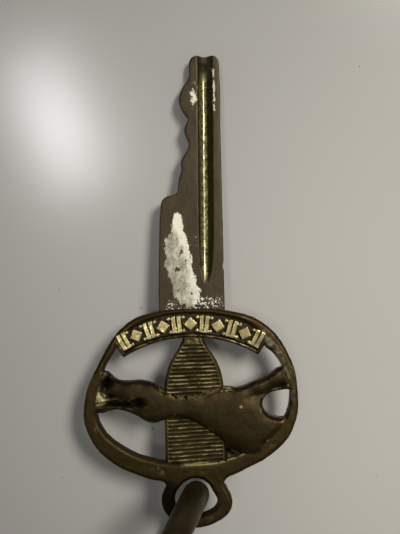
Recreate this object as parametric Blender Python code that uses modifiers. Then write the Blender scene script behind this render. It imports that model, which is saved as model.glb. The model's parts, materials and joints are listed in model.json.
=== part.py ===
"""Flat cylinder-lock key with an openwork ornamental bow, hanging on a round wire ring.

Frame: the key lies flat. +Y runs along the blade to its tip, +X towards the blade's straight back edge,
+Z out of the ornamented front. The origin is on the flat back of the shank, on the shank's centre line.
Outlines below are in millimetres and MM turns them into metres.
"""

import math

import bmesh
import bpy
from mathutils import Matrix, Vector

MM = 0.001

# Blade
BLADE_THICKNESS = 1.9
BLADE_EDGE = 0.12
SPINE_X = 4.4
SHANK_X = -4.15
SHANK_ROOT_Y = -5.2
TIP_Y = 29.1

# Milled keyway grooves, cut by a round-nosed wheel that lifts out before the bow
GROOVE_RADIUS = 1.05
GROOVE_STATION = 0.5
GROOVE_OVERRUN = 1.4
FRONT_GROOVE = {"x": 2.1, "lean": 0.017, "depth": 0.6, "full_y": 6.5, "runout": 7.0}
BACK_GROOVE = {"x": 0.55, "lean": 0.017, "depth": 0.45, "full_y": 11.5, "runout": 5.5}

# Bow
BOW_CENTRE = Vector((-0.4, -15.5, 0.0))
RIM_THICKNESS = 2.1
RIM_EDGE = 0.28
RIM_HALF_LENGTH = 11.85
WINDOW_HALF_LENGTH = 8.3
SEAT_GAP = 0.05

# Cutters reach this far past the faces they cut
CUT_LOW = -1.0
CUT_HIGH = 5.0

# Banner, a band between two arcs about one centre
BANNER_ARC_CENTRE = (0.2, -8.8)
BANNER_LOW_RADIUS = 16.9
BANNER_HIGH_RADIUS = 20.6
BANNER_LEFT_DEG = 31.0
BANNER_RIGHT_DEG = 31.5
BANNER_END_DEG = 1.3
BANNER_THICKNESS = 2.1
BANNER_FIELD_Z = 1.45
BANNER_BORDER = 0.4
ARC_POINTS = 17
TRIM_SHRINK = 0.98

# Raised marks on the banner: pairs of bars and single lozenges by turns
MARK_COUNT = 11
MARK_END_DEG = 3.6
MARK_RADIUS = 18.6
MARK_TOP = 2.0
MARK_ROOT = 1.25
BAR_SIZE = (0.56, 2.1)
BAR_APART_DEG = 1.05
LOZENGE_SIDE = 1.25

# Ribbed panel
PANEL_X = 0.55
PANEL_THICKNESS = 1.55
PANEL_BORDER = 0.45
RIB_PITCH = 0.52
RIB_DEPTH = 0.2
RIB_LOW_Y = -8.0
RIB_COUNT = 29
RIB_LENGTH = 9.0
FURROW_SHARE = 0.8
RIB_LEAN_LOW_DEG = 3.1
RIB_LEAN_HIGH_DEG = 0.7

# Scroll
SCROLL_THICKNESS = 2.55
SCROLL_EDGE = 0.6

# Ring, and the hinge at the middle of the hanging loop's lower arm. Heading turns it from -Y towards -X,
# tip tilts its plane off upright, and rest is how far its centre stands above the arm
WIRE_RADIUS = 1.7
RING_RADIUS = 10.2
RING_PIVOT = Vector((-1.6, -31.2, 1.05))
PIVOT_TO_WIRE = 3.15
RING_HEADING_DEG = 27.4
RING_TIP_DEG = 6.8
RING_REST_DEG = 34.0
RING_BUTT_GAP_DEG = 1.0
RING_STATIONS = 61

# Outlines, (x, y) in millimetres, smooth through each point unless marked as a corner
CORNER = "corner"
BLADE_OUTLINE = [
    (SHANK_X, SHANK_ROOT_Y, CORNER),
    (SHANK_X, -1.5, CORNER),
    (-3.95, 4.0),
    (-3.6, 9.7),
    (-3.4, 10.45),
    (-2.85, 10.9),
    (-2.1, 11.1),
    (-1.4, 11.35, CORNER),
    (-1.15, 13.4, CORNER),
    (-0.8, 14.3),
    (-0.85, 15.3),
    (-0.3, 16.4),
    (0.2, 17.4),
    (0.1, 18.2),
    (-0.3, 19.2),
    (-0.2, 20.0),
    (0.2, 20.9),
    (-0.4, 21.9),
    (-0.85, 22.8),
    (-0.9, 23.7),
    (-0.5, 24.8),
    (0.1, 25.7),
    (0.5, 26.6),
    (0.5, 28.0),
    (0.8, 28.8),
    (1.5, TIP_Y),
    (2.5, TIP_Y - 0.1),
    (3.6, TIP_Y),
    (4.2, 28.7),
    (SPINE_X, 27.6),
    (SPINE_X, 20.0, CORNER),
    (SPINE_X, SHANK_ROOT_Y, CORNER),
]
RIM_OUTER = [
    (0.4, 11.85),
    (-4.0, 11.5),
    (-7.8, 10.2),
    (-11.6, 5.2),
    (-13.8, -0.7),
    (-13.2, -4.5),
    (-10.2, -8.0),
    (-5.4, -10.2),
    (-3.4, -10.9),
    (-3.75, -11.9),
    (-4.05, -13.1),
    (-3.3, -14.9),
    (-1.3, -16.3),
    (0.9, -16.55),
    (3.3, -15.8),
    (4.75, -14.7),
    (5.15, -13.2),
    (4.6, -11.8),
    (4.2, -10.7),
    (6.0, -9.6),
    (10.4, -7.3),
    (13.2, -4.2),
    (14.0, 0.6),
    (12.6, 6.3),
    (9.5, 9.9),
    (5.0, 11.45),
]
RIM_INNER = [
    (0.3, 11.2),
    (-4.1, 10.75),
    (-7.6, 9.2),
    (-8.95, 8.0),
    (-9.45, 6.8),
    (-10.1, 5.8),
    (-10.9, 4.5),
    (-12.2, -0.4),
    (-11.6, -3.4),
    (-8.8, -6.1),
    (-4.7, -7.8),
    (0.4, -8.3),
    (4.7, -7.8),
    (8.8, -5.9),
    (12.0, -3.1),
    (13.0, 0.6),
    (12.15, 3.9),
    (11.4, 5.2),
    (10.75, 6.0),
    (9.95, 6.6),
    (9.4, 7.8),
    (8.2, 9.4),
    (4.7, 10.75),
]
LOOP_HOLE = [
    (0.6, -10.15),
    (-1.4, -11.0),
    (-2.3, -12.9),
    (-1.85, -14.45),
    (-0.4, -15.15),
    (1.5, -14.95),
    (3.0, -14.1),
    (3.25, -13.1),
    (2.75, -12.0),
    (2.0, -10.8),
]
PANEL_HALF_OUTLINE = [
    (1.3, 8.6, CORNER),
    (1.4, 7.6, CORNER),
    (2.0, 6.5),
    (2.6, 5.6),
    (3.15, 4.6),
    (3.7, 2.8),
    (3.92, 0.6),
    (3.95, -2.0, CORNER),
    (3.95, -8.8, CORNER),
]
SCROLL_OUTLINE = [
    (-12.9, 3.2),
    (-11.0, 3.9),
    (-9.4, 2.75),
    (-8.0, 2.55),
    (-6.4, 2.6),
    (-4.6, 2.1),
    (-3.0, 1.0),
    (-1.4, 0.6),
    (0.6, 0.65),
    (2.6, 1.15),
    (4.6, 1.5),
    (6.4, 1.4),
    (8.4, 2.1),
    (10.3, 2.85),
    (11.8, 3.9),
    (13.6, 4.0),
    (13.8, 1.4),
    (12.2, 1.0),
    (10.4, 0.6),
    (9.45, -0.4),
    (9.9, -1.9),
    (11.4, -2.6),
    (13.2, -2.9),
    (12.4, -5.2),
    (9.5, -7.0),
    (6.6, -7.0),
    (4.6, -5.9),
    (3.0, -4.5),
    (1.1, -3.2),
    (-0.5, -2.45),
    (-2.1, -2.15),
    (-3.6, -2.6),
    (-5.0, -2.95),
    (-7.0, -1.9),
    (-9.4, -1.1),
    (-12.3, -1.4),
    (-13.4, 0.6),
]


def clear_scene():
    for old in list(bpy.data.objects):
        bpy.data.objects.remove(old, do_unlink=True)


def new_collection(name):
    collection = bpy.data.collections.new(name)
    bpy.context.scene.collection.children.link(collection)
    return collection


def new_material(name, colour, roughness, metallic=1.0):
    material = bpy.data.materials.new(name)
    material.use_nodes = True
    shader = material.node_tree.nodes["Principled BSDF"]
    shader.inputs["Base Color"].default_value = (*colour, 1.0)
    shader.inputs["Roughness"].default_value = roughness
    shader.inputs["Metallic"].default_value = metallic
    return material


def new_object(name, data, collection, parent=None, location=(0.0, 0.0, 0.0)):
    thing = bpy.data.objects.new(name, data)
    thing.parent = parent
    thing.location = location
    collection.objects.link(thing)
    return thing


def add_spline(curve, points, steps):
    """A closed spline through the points: smooth at plain ones, straight into and out of a corner."""
    spline = curve.splines.new("BEZIER")
    spline.bezier_points.add(len(points) - 1)
    for knot, (x, y, *kind) in zip(spline.bezier_points, points):
        handle = "VECTOR" if kind else "AUTO"
        knot.co = (x * MM, y * MM, 0.0)
        knot.handle_left_type = handle
        knot.handle_right_type = handle
    spline.use_cyclic_u = True
    spline.resolution_u = steps


def mesh_from_curve(name, curve):
    """The curve's evaluated mesh, closed by welding its caps to its sides."""
    holder = bpy.data.objects.new(name, curve)
    bpy.context.scene.collection.objects.link(holder)
    bpy.context.view_layer.update()
    graph = bpy.context.evaluated_depsgraph_get()
    mesh = bpy.data.meshes.new_from_object(holder.evaluated_get(graph))
    bpy.data.objects.remove(holder)
    mesh.name = name
    shape = bmesh.new()
    shape.from_mesh(mesh)
    bmesh.ops.remove_doubles(shape, verts=shape.verts, dist=1e-6)
    bmesh.ops.recalc_face_normals(shape, faces=shape.faces)
    shape.to_mesh(mesh)
    shape.free()
    return mesh


def plate_mesh(name, loops, low, high, steps=4, grow=1.0):
    """A flat plate with the given outlines, the later ones holes, from height low to height high."""
    curve = bpy.data.curves.new(name, "CURVE")
    curve.dimensions = "2D"
    curve.fill_mode = "BOTH"
    curve.extrude = (high - low) / 2 * MM
    for points in loops:
        add_spline(curve, points, steps)
    mesh = mesh_from_curve(name, curve)
    lift = Matrix.Translation((0.0, 0.0, (high + low) / 2 * MM))
    mesh.transform(lift @ Matrix.Diagonal((grow, grow, 1, 1)))
    return mesh


def round_edges(thing, width, segments=2):
    bevel = thing.modifiers.new("rounded_edges", "BEVEL")
    bevel.width = width * MM
    bevel.segments = segments
    bevel.limit_method = "ANGLE"
    bevel.angle_limit = math.radians(50)


def boolean(thing, other, operation):
    step = thing.modifiers.new(operation.lower() + "_" + other.name, "BOOLEAN")
    step.operation = operation
    step.solver = "EXACT"
    step.object = other


def guide(name, mesh, cutters, parent):
    """A shape that only cuts or trims others."""
    cutter = new_object(name, mesh, cutters, parent)
    cutter.hide_render = True
    cutter.display_type = "WIRE"
    return cutter


def groove_cutter(name, groove, surface_z, outward, cutters):
    """A round rod along the blade that dips into the face and rises out of it near the shank."""
    wheel_radius = groove["runout"] ** 2 / (2 * groove["depth"])
    curve = bpy.data.curves.new(name, "CURVE")
    curve.dimensions = "3D"
    curve.bevel_depth = GROOVE_RADIUS * MM
    curve.bevel_resolution = 5
    curve.use_fill_caps = True
    stations = [TIP_Y + 2.0, groove["full_y"]]
    while stations[-1] > groove["full_y"] - GROOVE_OVERRUN * groove["runout"]:
        stations.append(stations[-1] - GROOVE_STATION)
    spline = curve.splines.new("POLY")
    spline.points.add(len(stations) - 1)
    for knot, y in zip(spline.points, stations):
        along = max(0.0, groove["full_y"] - y)
        lift = along**2 / (2 * wheel_radius)
        height = surface_z + outward * (GROOVE_RADIUS - groove["depth"] + lift)
        knot.co = ((groove["x"] + groove["lean"] * y) * MM, y * MM, height * MM, 1.0)
    return guide(name, mesh_from_curve(name, curve), cutters, None)


def build_blade(parts, cutters, bow, brass):
    mesh = plate_mesh("blade", [BLADE_OUTLINE], 0.0, BLADE_THICKNESS, steps=3)
    mesh.materials.append(brass)
    blade = new_object("blade", mesh, parts)
    round_edges(blade, BLADE_EDGE, 1)
    boolean(blade, groove_cutter("front_groove", FRONT_GROOVE, BLADE_THICKNESS, 1, cutters), "DIFFERENCE")
    boolean(blade, groove_cutter("back_groove", BACK_GROOVE, 0.0, -1, cutters), "DIFFERENCE")
    seat = plate_mesh("blade_seat", [RIM_OUTER], CUT_LOW, CUT_HIGH, grow=1.0 + SEAT_GAP / RIM_HALF_LENGTH)
    boolean(blade, guide("blade_seat", seat, cutters, bow), "DIFFERENCE")


def build_rim(parts, bow, brass):
    mesh = plate_mesh("bow_rim", [RIM_OUTER, RIM_INNER, LOOP_HOLE], 0.0, RIM_THICKNESS)
    mesh.materials.append(brass)
    rim = new_object("bow_rim", mesh, parts, bow)
    round_edges(rim, RIM_EDGE)


def arc_points(radius, start_deg, end_deg):
    """Points on a banner arc, angles measured from straight up, positive to the right."""
    points = []
    for step in range(ARC_POINTS):
        angle = math.radians(start_deg + (end_deg - start_deg) * step / (ARC_POINTS - 1))
        x = BANNER_ARC_CENTRE[0] + radius * math.sin(angle)
        y = BANNER_ARC_CENTRE[1] + radius * math.cos(angle)
        points.append((x, y, CORNER))
    return points


def band(low_radius, high_radius, left_deg, right_deg):
    low = arc_points(low_radius, -left_deg, right_deg)
    return low + arc_points(high_radius, right_deg, -left_deg)


def add_block(shape, angle_deg, size, turn_deg):
    """A block standing in the banner's field, its height running out from the banner's centre."""
    angle = math.radians(angle_deg)
    centre = Vector(
        (
            BANNER_ARC_CENTRE[0] + MARK_RADIUS * math.sin(angle),
            BANNER_ARC_CENTRE[1] + MARK_RADIUS * math.cos(angle),
            (MARK_TOP + MARK_ROOT) / 2,
        )
    )
    stretch = Matrix.Diagonal((size[0] * MM, size[1] * MM, (MARK_TOP - MARK_ROOT) * MM, 1.0))
    turn = Matrix.Rotation(math.radians(turn_deg) - angle, 4, "Z")
    bmesh.ops.create_cube(shape, size=1.0, matrix=Matrix.Translation(centre * MM) @ turn @ stretch)


def marks_mesh():
    """Plain raised marks along the banner, a pair of bars and a lozenge by turns."""
    shape = bmesh.new()
    spread = BANNER_LEFT_DEG + BANNER_RIGHT_DEG - 2 * MARK_END_DEG
    for number in range(MARK_COUNT):
        angle_deg = MARK_END_DEG - BANNER_LEFT_DEG + spread * number / (MARK_COUNT - 1)
        if number % 2:
            add_block(shape, angle_deg, (LOZENGE_SIDE, LOZENGE_SIDE), 45.0)
        else:
            add_block(shape, angle_deg - BAR_APART_DEG, BAR_SIZE, 0.0)
            add_block(shape, angle_deg + BAR_APART_DEG, BAR_SIZE, 0.0)
    mesh = bpy.data.meshes.new("banner_marks")
    shape.to_mesh(mesh)
    shape.free()
    return mesh


def build_banner(parts, cutters, bow, window, brass):
    outline = band(BANNER_LOW_RADIUS, BANNER_HIGH_RADIUS, BANNER_LEFT_DEG, BANNER_RIGHT_DEG)
    mesh = plate_mesh("banner", [outline], 0.0, BANNER_THICKNESS)
    mesh.materials.append(brass)
    banner = new_object("banner", mesh, parts, bow)
    boolean(banner, window, "INTERSECT")
    field = band(
        BANNER_LOW_RADIUS + BANNER_BORDER,
        BANNER_HIGH_RADIUS + 1.0,
        BANNER_LEFT_DEG - BANNER_END_DEG,
        BANNER_RIGHT_DEG - BANNER_END_DEG,
    )
    recess = plate_mesh("banner_recess", [field], BANNER_FIELD_Z, CUT_HIGH)
    recess_trim = plate_mesh("recess_trim", [RIM_INNER], CUT_LOW, CUT_HIGH + 1.0, grow=TRIM_SHRINK)
    trim_guide = guide("recess_trim", recess_trim, cutters, bow)
    recess_guide = guide("banner_recess", recess, cutters, bow)
    marks_guide = guide("banner_marks", marks_mesh(), cutters, bow)
    boolean(recess_guide, trim_guide, "INTERSECT")
    boolean(marks_guide, trim_guide, "INTERSECT")
    boolean(banner, recess_guide, "DIFFERENCE")
    boolean(banner, marks_guide, "UNION")


def panel_outline(inset=0.0):
    """The panel's right side, moved in by the inset, and its mirror image."""
    right = [(x - inset, y, *kind) for x, y, *kind in PANEL_HALF_OUTLINE]
    left = [(-x, y, *kind) for x, y, *kind in reversed(right)]
    return [(PANEL_X + x, y, *kind) for x, y, *kind in right + left]


def ribs_mesh():
    """A row of V-shaped bars lying across the panel, one for each furrow, leaning more towards the loop."""
    shape = bmesh.new()
    side = RIB_PITCH * FURROW_SHARE / math.sqrt(2)
    height = PANEL_THICKNESS - RIB_DEPTH + side / math.sqrt(2)
    for number in range(RIB_COUNT):
        share = number / (RIB_COUNT - 1)
        lean = math.radians(RIB_LEAN_LOW_DEG + (RIB_LEAN_HIGH_DEG - RIB_LEAN_LOW_DEG) * share)
        place = Matrix.Translation(Vector((PANEL_X, RIB_LOW_Y + number * RIB_PITCH, height)) * MM)
        turn = Matrix.Rotation(lean, 4, "Z") @ Matrix.Rotation(math.pi / 4, 4, "X")
        size = Matrix.Diagonal((RIB_LENGTH * MM, side * MM, side * MM, 1.0))
        bmesh.ops.create_cube(shape, size=1.0, matrix=place @ turn @ size)
    mesh = bpy.data.meshes.new("rib_furrows")
    shape.to_mesh(mesh)
    shape.free()
    return mesh


def build_panel(parts, cutters, bow, window, brass):
    mesh = plate_mesh("ribbed_panel", [panel_outline()], 0.0, PANEL_THICKNESS, steps=3)
    mesh.materials.append(brass)
    panel = new_object("ribbed_panel", mesh, parts, bow)
    boolean(panel, window, "INTERSECT")
    above = band(BANNER_LOW_RADIUS - SEAT_GAP, BANNER_HIGH_RADIUS, BANNER_LEFT_DEG, BANNER_RIGHT_DEG)
    above_mesh = plate_mesh("panel_top_trim", [above], CUT_LOW, CUT_HIGH)
    boolean(panel, guide("panel_top_trim", above_mesh, cutters, bow), "DIFFERENCE")
    furrows = guide("rib_furrows", ribs_mesh(), cutters, bow)
    inner = plate_mesh("rib_border", [panel_outline(PANEL_BORDER)], CUT_LOW, CUT_HIGH, steps=3)
    boolean(furrows, guide("rib_border", inner, cutters, bow), "INTERSECT")
    boolean(panel, furrows, "DIFFERENCE")


def build_scroll(parts, cutters, bow, window, brass):
    mesh = plate_mesh("scroll", [SCROLL_OUTLINE], 0.0, SCROLL_THICKNESS)
    mesh.materials.append(brass)
    scroll = new_object("scroll", mesh, parts, bow)
    round_edges(scroll, SCROLL_EDGE, 3)
    boolean(scroll, window, "INTERSECT")
    seat = plate_mesh("panel_seat", [panel_outline(-SEAT_GAP)], CUT_LOW, PANEL_THICKNESS + SEAT_GAP, steps=3)
    boolean(scroll, guide("panel_seat", seat, cutters, bow), "DIFFERENCE")


def build_ring(parts, brass):
    """The ring turns about its pivot's Y; its centre is straight out along the pivot's X."""
    pivot = new_object("ring_pivot", None, parts, None, RING_PIVOT * MM)
    pivot.rotation_mode = "YXZ"
    turns = (RING_TIP_DEG, -RING_REST_DEG, -90.0 - RING_HEADING_DEG)
    pivot.rotation_euler = [math.radians(turn) for turn in turns]
    curve = bpy.data.curves.new("key_ring", "CURVE")
    curve.dimensions = "3D"
    curve.bevel_depth = WIRE_RADIUS * MM
    curve.bevel_resolution = 4
    curve.use_fill_caps = True
    spline = curve.splines.new("POLY")
    spline.points.add(RING_STATIONS - 1)
    for number, knot in enumerate(spline.points):
        share = number / (RING_STATIONS - 1)
        angle = math.radians(RING_BUTT_GAP_DEG / 2 + (360.0 - RING_BUTT_GAP_DEG) * share)
        knot.co = (RING_RADIUS * MM * math.cos(angle), 0.0, RING_RADIUS * MM * math.sin(angle), 1.0)
    curve.materials.append(brass)
    new_object("key_ring", curve, parts, pivot, ((RING_RADIUS - PIVOT_TO_WIRE) * MM, 0.0, 0.0))


def main():
    clear_scene()
    parts = new_collection("ornamental_key")
    cutters = new_collection("cutters")
    bow = new_object("bow_centre", None, parts, None, BOW_CENTRE * MM)
    shrink = 1.0 - SEAT_GAP / WINDOW_HALF_LENGTH
    window_mesh = plate_mesh("bow_window", [RIM_INNER], 2 * CUT_LOW, CUT_HIGH + 2.0, grow=shrink)
    window = guide("bow_window", window_mesh, cutters, bow)
    build_blade(parts, cutters, bow, new_material("worn_brass", (0.16, 0.11, 0.07), 0.42))
    build_rim(parts, bow, new_material("dark_brass", (0.13, 0.10, 0.04), 0.4))
    build_banner(parts, cutters, bow, window, new_material("bright_brass", (0.60, 0.50, 0.20), 0.3))
    build_panel(parts, cutters, bow, window, new_material("olive_brass", (0.16, 0.13, 0.05), 0.42))
    build_scroll(parts, cutters, bow, window, new_material("bronze_patina", (0.15, 0.12, 0.06), 0.38))
    build_ring(parts, new_material("brown_wire", (0.17, 0.12, 0.07), 0.4))


main()
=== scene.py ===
"""Looks of the flat cylinder-lock key with an openwork ornamental bow, hanging on a round wire ring.

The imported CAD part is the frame, and each of its nodes is replaced by a finer mesh in the same place.
Shapes are made in millimetres, in the frame's axes, and MM turns them into metres at the end.
"""

import json
import math

import bmesh
import bpy
import numpy as np
from mathutils import Matrix, Vector, noise
from mathutils.bvhtree import BVHTree


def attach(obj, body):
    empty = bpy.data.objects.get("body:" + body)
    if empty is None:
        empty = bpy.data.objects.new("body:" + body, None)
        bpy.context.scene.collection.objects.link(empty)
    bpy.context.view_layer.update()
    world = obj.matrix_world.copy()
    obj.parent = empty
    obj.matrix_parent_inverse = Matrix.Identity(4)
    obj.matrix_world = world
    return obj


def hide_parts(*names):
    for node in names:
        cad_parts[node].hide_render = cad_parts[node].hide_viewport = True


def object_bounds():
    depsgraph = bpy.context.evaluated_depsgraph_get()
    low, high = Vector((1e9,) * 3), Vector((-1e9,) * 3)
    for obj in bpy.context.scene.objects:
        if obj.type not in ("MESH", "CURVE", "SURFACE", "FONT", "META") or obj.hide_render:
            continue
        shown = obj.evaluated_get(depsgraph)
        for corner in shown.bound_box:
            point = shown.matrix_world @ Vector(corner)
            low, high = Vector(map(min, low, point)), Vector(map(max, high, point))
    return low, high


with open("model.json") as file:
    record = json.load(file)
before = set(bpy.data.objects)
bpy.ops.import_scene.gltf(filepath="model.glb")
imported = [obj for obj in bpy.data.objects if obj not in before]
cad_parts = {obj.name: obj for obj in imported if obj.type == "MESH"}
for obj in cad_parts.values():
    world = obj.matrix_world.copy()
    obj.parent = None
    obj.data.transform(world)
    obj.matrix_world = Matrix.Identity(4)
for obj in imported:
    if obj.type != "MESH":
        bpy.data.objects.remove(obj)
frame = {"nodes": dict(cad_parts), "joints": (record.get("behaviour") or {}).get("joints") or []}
cad_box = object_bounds()

MM = 0.001
BOW_CENTRE = (-0.4, -15.5)
CORNER = "corner"

# Heights above the key's flat back
BLADE_TOP = 1.9
RIM_TOP = 2.1
PANEL_TOP = 1.55
SCROLL_TOP = 2.55
BANNER_TOP = 2.1
BANNER_FIELD = 1.45
# Heights of the backs of the pieces in the bow's opening, a little above the rim's own back
PANEL_BACK = 0.1
BANNER_BACK = 0.1
SCROLL_BACK = 0.2
# Height that the scroll and the rim share where they meet at the bow's sides, beyond SIDE_X
JOINED_HEIGHT = 1.95
SIDE_X = 9.0
# How strongly ridges and hollows show in the wear masks
EDGE_GAIN = 20.0
RELIEF_GAIN = 8.0
# Wear on the front fades in between these heights
FRONT_LOW = 0.6
FRONT_HIGH = 1.2
# How far the fine meshes stay inside the CAD model's box
CLIP_MARGIN = 0.0005

# Size of each piece's even faces
BLADE_VOXEL = 0.09
RIM_VOXEL = 0.095
BANNER_VOXEL = 0.085
MARKS_VOXEL = 0.05
PANEL_VOXEL = 0.075
SCROLL_VOXEL = 0.09

# Hand-made waviness of each piece, in layers: (height, size, seed)
BLADE_WAVES = [(0.018, 3.5, 1), (0.012, 0.9, 2), (0.006, 0.35, 3)]
RIM_WAVES = [(0.035, 2.6, 11), (0.02, 0.8, 12), (0.008, 0.3, 13)]
BANNER_WAVES = [(0.02, 1.5, 22), (0.01, 0.4, 23)]
MARKS_WAVES = [(0.03, 0.8, 31), (0.006, 0.3, 32)]
PANEL_WAVES = [(0.012, 0.9, 44), (0.008, 0.3, 45)]
SCROLL_WAVES = [(0.03, 2.2, 51), (0.016, 0.7, 52), (0.006, 0.28, 53)]

# Banner, a band between two arcs, in the bow's own axes
BANNER_CENTRE = (0.2, -8.8)
BANNER_LOW_RADIUS = 16.9
BANNER_HIGH_RADIUS = 21.6
BANNER_LEFT_DEG = 31.0
BANNER_RIGHT_DEG = 31.5
BANNER_BORDER = 0.4
BANNER_END_BORDER = 0.42

# Marks on the banner: bars in pairs and lozenges by turns, with beads between them
MARK_COUNT = 11
MARK_END_DEG = 3.6
MARK_RADIUS = 18.68
BAR_SIZE = (0.56, 2.25)
BAR_APART_DEG = 1.05
LOZENGE_SIDE = 1.3
BEAD_SIDE = 0.42
BEAD_FROM_MIDDLE = 0.85

# Ribbed panel, in the bow's own axes
PANEL_X = 0.55
PANEL_BORDER = 0.45
RIB_PITCH = 0.52
RIB_DEPTH = 0.24
RIB_LEAN_LOW = (-8.0, 0.054)
RIB_LEAN_HIGH = (7.0, 0.012)
RIBS_TOP = 7.3
NECK_LOW = 6.9
NECK_HIGH = 7.4

# Keyway groove in the front
GROOVE_X = 2.1
GROOVE_LEAN = 0.017
GROOVE_HALF_WIDTH = 0.95
GROOVE_DEPTH = 0.6

# Blade: a punched pit at the groove's tip end, a nick in the straight edge, and where the bow begins
PIT_PLACE = (2.35, 27.65)
PIT_RADIUS = 0.42
PIT_DEPTH = 0.3
NICK_Y = 1.75
NICK_HALF_LENGTH = 0.45
NICK_DEPTH = 0.13
BOW_BEGINS_Y = -2.0
TUCK_UNDER_BOW = 0.25
FAR_AWAY = 9.0

# Ring
WIRE_RADIUS = 1.7
WIRE_SHRINK = 0.985
WIRE_ROWS = 360
WIRE_SIDES = 40
WIRE_END_LENGTH = 0.35
WIRE_END_ROUNDING = 0.16
RING_RADIUS = 10.2
PIVOT_TO_WIRE = 3.15
RING_HEADING_DEG = 27.4
RING_TIP_DEG = 6.8
RING_REST_DEG = 34.0
RING_BUTT_GAP_DEG = 1.0

# The middle line of the bow's rim, where the pieces inside it end
RIM_MIDDLE = [
    (0.35, 11.5),
    (-4.05, 11.1),
    (-7.7, 9.7),
    (-11.0, 5.1),
    (-13.0, -0.5),
    (-12.4, -4.0),
    (-9.5, -7.1),
    (-5.05, -9.0),
    (0.4, -9.3),
    (5.3, -8.7),
    (9.6, -6.6),
    (12.6, -3.6),
    (13.5, 0.6),
    (12.0, 5.8),
    (9.1, 9.5),
    (4.85, 11.1),
]
PANEL_HALF_OUTLINE = [
    (1.3, 9.0, CORNER),
    (1.4, 7.6, CORNER),
    (2.0, 6.5),
    (2.6, 5.6),
    (3.15, 4.6),
    (3.7, 2.8),
    (3.92, 0.6),
    (3.95, -2.0, CORNER),
    (3.95, -9.0, CORNER),
]
SCROLL_OUTLINE = [
    (-12.9, 3.2),
    (-11.0, 3.9),
    (-9.4, 2.75),
    (-8.0, 2.55),
    (-6.4, 2.6),
    (-4.6, 2.1),
    (-3.0, 1.0),
    (-1.4, 0.6),
    (0.6, 0.65),
    (2.6, 1.15),
    (4.6, 1.5),
    (6.4, 1.4),
    (8.4, 2.1),
    (10.3, 2.85),
    (11.8, 3.9),
    (13.6, 4.0),
    (13.8, 1.4),
    (12.2, 1.0),
    (10.4, 0.6),
    (9.45, -0.4),
    (9.9, -1.9),
    (11.4, -2.6),
    (13.2, -2.9),
    (12.4, -5.2),
    (9.5, -7.0),
    (6.8, -8.3, CORNER),
    (4.5, -8.6, CORNER),
    (4.3, -7.0),
    (4.1, -5.4),
    (3.0, -4.5),
    (1.1, -3.2),
    (-0.5, -2.45),
    (-2.1, -2.15),
    (-3.6, -2.6),
    (-5.0, -2.95),
    (-7.0, -1.9),
    (-9.4, -1.1),
    (-12.3, -1.4),
    (-13.4, 0.6),
]
# The scroll's raised strokes: (x, y, half width, height) at each point of a stroke
SCROLL_STROKES = [
    [
        (-9.6, 1.9, 1.1, 0.5),
        (-7.4, 1.3, 1.5, 0.7),
        (-5.0, 0.0, 2.3, 0.82),
        (-2.6, -0.7, 2.1, 0.88),
        (0.0, -0.9, 1.9, 0.86),
    ],
    [
        (0.0, -0.9, 1.9, 0.86),
        (2.6, -1.4, 2.6, 0.84),
        (5.2, -2.3, 3.4, 0.9),
        (7.4, -3.4, 3.6, 0.95),
        (8.8, -4.2, 3.4, 0.92),
    ],
    [
        (3.4, 0.3, 1.2, 0.7),
        (6.4, 0.5, 1.1, 0.72),
        (9.0, 1.5, 0.95, 0.66),
        (11.2, 2.7, 0.95, 0.58),
        (13.6, 3.3, 1.0, 0.45),
    ],
    [(7.6, -1.0, 1.3, 0.7), (9.2, 0.0, 0.8, 0.5), (11.0, 0.75, 0.45, 0.35), (13.5, 1.4, 0.5, 0.4)],
    [(-12.6, 4.2, 0.7, 0.5), (-11.2, 3.6, 0.6, 0.5), (-9.8, 2.7, 0.7, 0.5)],
    [(-12.5, 0.75, 0.85, 0.52), (-11.7, 0.3, 0.6, 0.46)],
    [(-11.4, 0.15, 0.32, 0.5), (-10.0, 0.3, 0.34, 0.46), (-8.7, 0.2, 0.4, 0.5), (-7.7, 0.5, 0.8, 0.6)],
    [
        (-13.2, -0.9, 0.5, 0.45),
        (-10.6, -0.75, 0.5, 0.46),
        (-8.2, -1.2, 0.6, 0.52),
        (-5.8, -2.1, 0.8, 0.62),
        (-4.0, -1.9, 1.1, 0.75),
    ],
    [(10.0, -4.0, 1.8, 0.6), (11.8, -3.5, 1.2, 0.5), (13.2, -3.6, 0.8, 0.4)],
]
# Pits between them: (x, y, radius along x, radius along y, depth)
SCROLL_PITS = [
    (-11.0, 2.7, 1.0, 0.75, 0.95),
    (-6.75, -0.2, 0.95, 0.5, 0.8),
    (-9.2, -0.35, 1.7, 0.3, 0.4),
    (5.0, -7.2, 1.35, 0.95, 0.75),
]
# Short streaks of painted glint on the scroll, from point to point
SCROLL_GLINT_STREAKS = [
    [(9.9, -5.55), (11.3, -5.1)],
    [(11.7, -3.6), (12.4, -3.25)],
    [(3.9, 1.05), (5.1, 1.2)],
    [(4.9, -7.75), (6.3, -7.35)],
    [(5.0, -6.7), (6.2, -7.2)],
]
# A small painted highlight on the scroll's right body
SCROLL_HIGHLIGHT_SPOT = (6.55, -0.95)
# The bare triangle at the scroll's left end: its middle and half sizes
FACET_PLACE = (-11.9, 0.5)
FACET_REACH = (1.25, 1.0)
# Stretches of the rim, from point to point: a painted shadow of the ring on the loop's left arm, a rubbed
# corner at the upper right, and rubbing with painted sheen down the right side
RIM_RING_SHADOW = [(-3.0, -11.3), (-3.3, -13.2), (-2.4, -14.9)]
RIM_RUB_CORNER = [(9.5, 8.4), (10.9, 6.9), (11.9, 5.2)]
RIM_SHEEN_SIDE = [(11.9, 5.2), (13.2, 1.5), (13.1, -2.4)]
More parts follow.
